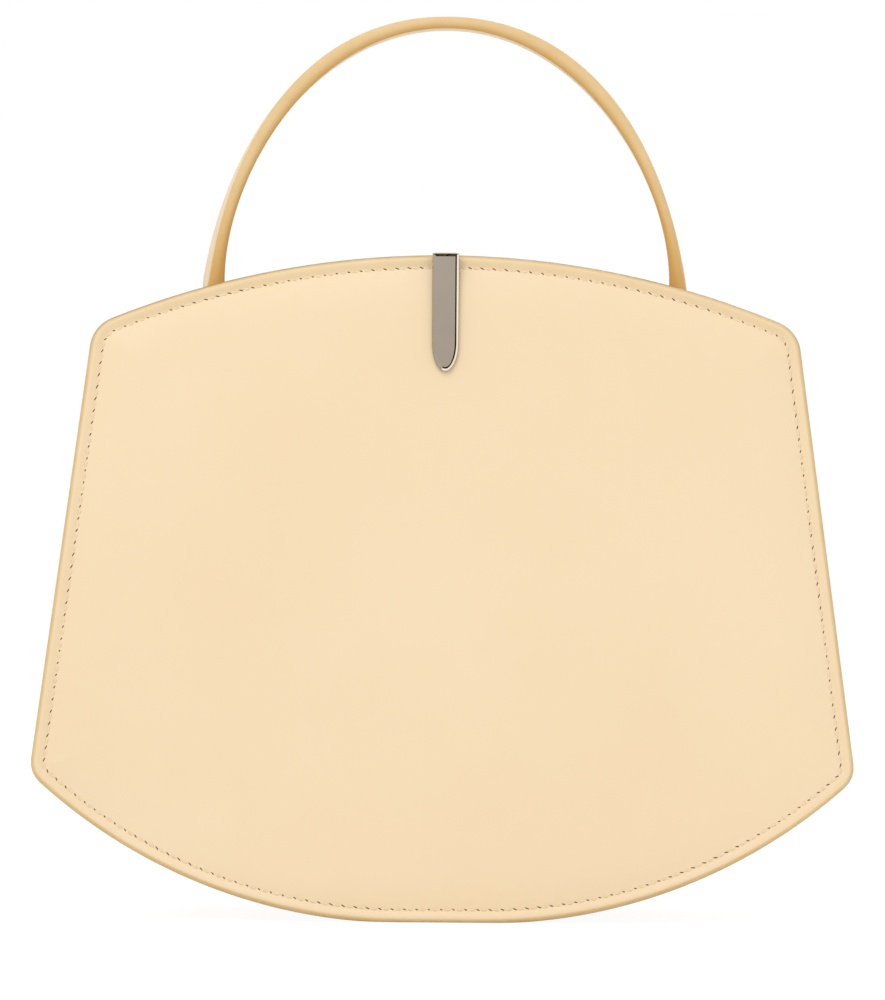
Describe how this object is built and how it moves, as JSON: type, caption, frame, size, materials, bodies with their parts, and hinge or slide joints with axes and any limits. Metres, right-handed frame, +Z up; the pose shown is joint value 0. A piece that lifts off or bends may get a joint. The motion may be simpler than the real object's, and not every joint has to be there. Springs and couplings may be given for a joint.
{
  "type": "top-handle bag",
  "caption": "Structured leather top-handle bag with stiff crowned panels, a folding gusset, an arched strap handle and a metal clasp that flips over the rim.",
  "frame": {"origin": "on the ground, at the middle of the bag's width and depth", "axes": "+X to the right seen from the front, -Y out of the front panel with the clasp's tongue, +Z up"},
  "size_m": [0.2444, 0.0778, 0.2707],
  "materials": {
    "leather": "smooth satin, pale butter yellow",
    "strap": "smooth satin with painted edges",
    "foam": "matte padding",
    "board": "matte fibre board",
    "lining": "matte woven lining",
    "metal": "polished"
  },
  "bodies": {
    "shell": {"back_leather": "leather", "back_foam": "foam", "back_board": "board", "back_lining": "lining", "slip_pocket": "lining", "gusset_left": "leather", "gusset_right": "leather", "gusset_base": "leather", "gusset_lining_left": "lining", "gusset_lining_right": "lining", "gusset_lining_base": "lining", "base_board": "board", "hinge_leaf": "metal", "hinge_pin": "metal", "hinge_rivet_upper": "metal", "hinge_rivet_lower": "metal", "hinge_backing_plate": "metal", "handle_lug_left": "metal", "handle_lug_right": "metal", "lug_rivet_left_upper": "metal", "lug_rivet_left_lower": "metal", "lug_rivet_right_upper": "metal", "lug_rivet_right_lower": "metal", "handle_post_left": "metal", "handle_post_right": "metal", "handle_screw_left": "metal", "handle_screw_right": "metal"},
    "front_panel": {"front_leather": "leather", "front_foam": "foam", "front_board": "board", "front_lining": "lining", "closure_magnet": "metal"},
    "clasp": {"clasp_bar": "metal"},
    "handle": {"handle_outer": "strap", "handle_core": "board", "handle_inner": "strap"}
  },
  "joints": [
    {"name": "mouth_open", "type": "hinge", "parent": "shell", "child": "front_panel", "pos_m": [0, -0.039, 0], "axis": [1, 0, 0], "range_deg": [0, 7.5], "deforming": ["gusset_left", "gusset_right", "gusset_base", "gusset_lining_left", "gusset_lining_right", "gusset_lining_base"]},
    {"name": "clasp_lift", "type": "hinge", "parent": "shell", "child": "clasp", "pos_m": [0, 0.02048, 0.19829], "axis": [-1, 0, 0], "range_deg": [0, 150]},
    {"name": "handle_tilt", "type": "hinge", "parent": "shell", "child": "handle", "pos_m": [0, 0, 0.176], "axis": [1, 0, 0], "range_deg": [-24, 24]}
  ],
  "couplings": [
    {"joint": "clasp_lift", "follows": "mouth_open", "ratio": 20}
  ]
}
